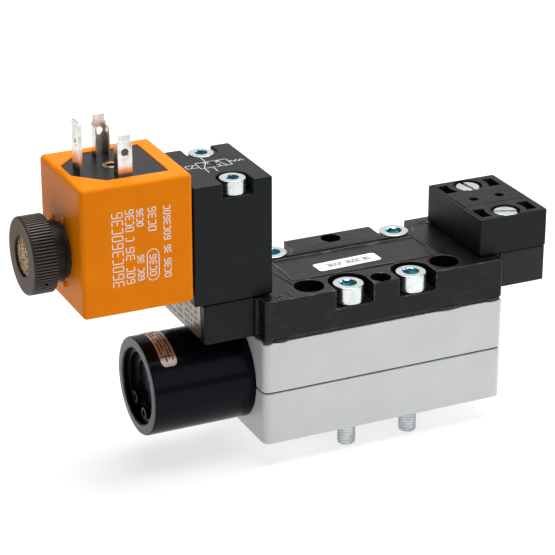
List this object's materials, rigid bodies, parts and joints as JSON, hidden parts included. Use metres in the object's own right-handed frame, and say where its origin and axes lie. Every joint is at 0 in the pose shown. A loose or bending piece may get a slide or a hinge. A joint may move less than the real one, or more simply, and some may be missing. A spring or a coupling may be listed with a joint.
{
  "type": "solenoid directional valve",
  "caption": "Five-port solenoid pilot valve on a grey housing with an orange coil, a knurled coil nut and a spring-return spool, for bolting to a port plate.",
  "frame": {"origin": "centre of the middle (supply) port in the flat base face", "axes": "+X along the spool, from the coil end to the cover block end; +Z away from the base face, up the bolts; +Y from the front bolts to the rear bolts"},
  "size_m": [0.1459, 0.0374, 0.0985],
  "materials": {
    "grey_paint": "satin light grey paint",
    "black_coating": "satin black coating, worn at the edges",
    "black_anodised": "satin black anodised",
    "zinc_steel": "bright zinc plated",
    "spring_steel": "oiled spring steel",
    "machined_metal": "fine turned",
    "stainless_steel": "ground",
    "yoke_steel": "pressed sheet, zinc plated",
    "black_rubber": "moulded nitrile rubber",
    "piston_plastic": "natural acetal",
    "black_plastic": "satin glass-filled plastic",
    "cover_plastic": "matt glass-filled plastic",
    "connector_plastic": "moulded, half gloss",
    "orange_plastic": "moulded, half gloss",
    "nut_plastic": "satin dark brown-black",
    "sintered_bronze": "sintered grains",
    "brass": "turned",
    "copper_wire": "enamelled copper wire",
    "tin_plate": "tin plated",
    "white_label": "printed film",
    "foil_label": "satin printed foil"
  },
  "bodies": {
    "valve_body": {"body_lower": "grey_paint", "body_upper": "grey_paint", "body_seal": "black_rubber", "port_seals": "black_rubber", "plate_gasket": "black_rubber", "top_plate": "black_coating", "plate_screws": "zinc_steel", "plate_label": "white_label", "valve_sleeve": "machined_metal", "sleeve_seals": "black_rubber", "return_spring": "spring_steel", "spring_housing": "black_anodised", "housing_seal": "black_rubber", "end_disc": "black_anodised", "retaining_ring": "spring_steel", "housing_label": "foil_label", "pilot_adapter": "black_plastic", "adapter_gasket": "black_rubber", "adapter_label": "foil_label", "end_extension": "black_plastic", "extension_gasket": "black_rubber", "end_screws": "zinc_steel", "pilot_body": "black_plastic", "pilot_gasket": "black_rubber", "pilot_screws": "zinc_steel", "pilot_nozzle": "brass", "armature_tube": "stainless_steel", "tube_seal": "black_rubber", "fixed_core": "stainless_steel", "plunger_spring": "spring_steel", "cover_block": "cover_plastic", "cover_gasket": "black_rubber", "cover_screws": "zinc_steel"},
    "spool_assembly": {"spool": "machined_metal", "spool_seals": "black_rubber", "pilot_piston": "piston_plastic", "piston_seal": "black_rubber", "spring_seat": "machined_metal"},
    "plunger_assembly": {"plunger": "stainless_steel", "plunger_disc": "black_rubber"},
    "coil": {"coil_housing": "orange_plastic", "coil_yoke": "yoke_steel", "coil_bobbin": "piston_plastic", "coil_winding": "copper_wire", "connector_base": "connector_plastic", "connector_insert": "brass", "earth_terminal": "tin_plate", "front_terminal": "tin_plate", "rear_terminal": "tin_plate", "coil_washer": "black_rubber"},
    "coil_nut": {"knurled_nut": "nut_plastic", "nut_filter": "sintered_bronze"}
  },
  "joints": [
    {"name": "spool_slide", "type": "slide", "parent": "valve_body", "child": "spool_assembly", "axis": [1, 0, 0], "range_m": [-0.0048, 0], "stiffness_N_per_m": 400, "springref_m": 0.006, "deforming": ["return_spring"]},
    {"name": "plunger_slide", "type": "slide", "parent": "valve_body", "child": "plunger_assembly", "axis": [1, 0, 0], "range_m": [-0.0012, 0], "stiffness_N_per_m": 200, "springref_m": 0.004, "deforming": ["plunger_spring"]},
    {"name": "coil_turn", "type": "hinge", "parent": "valve_body", "child": "coil", "pos_m": [-0.069, 0, 0.058], "axis": [1, 0, 0], "range_deg": [-180, 180]},
    {"name": "nut_turn", "type": "hinge", "parent": "valve_body", "child": "coil_nut", "pos_m": [-0.09, 0, 0.058], "axis": [1, 0, 0], "continuous": true}
  ]
}
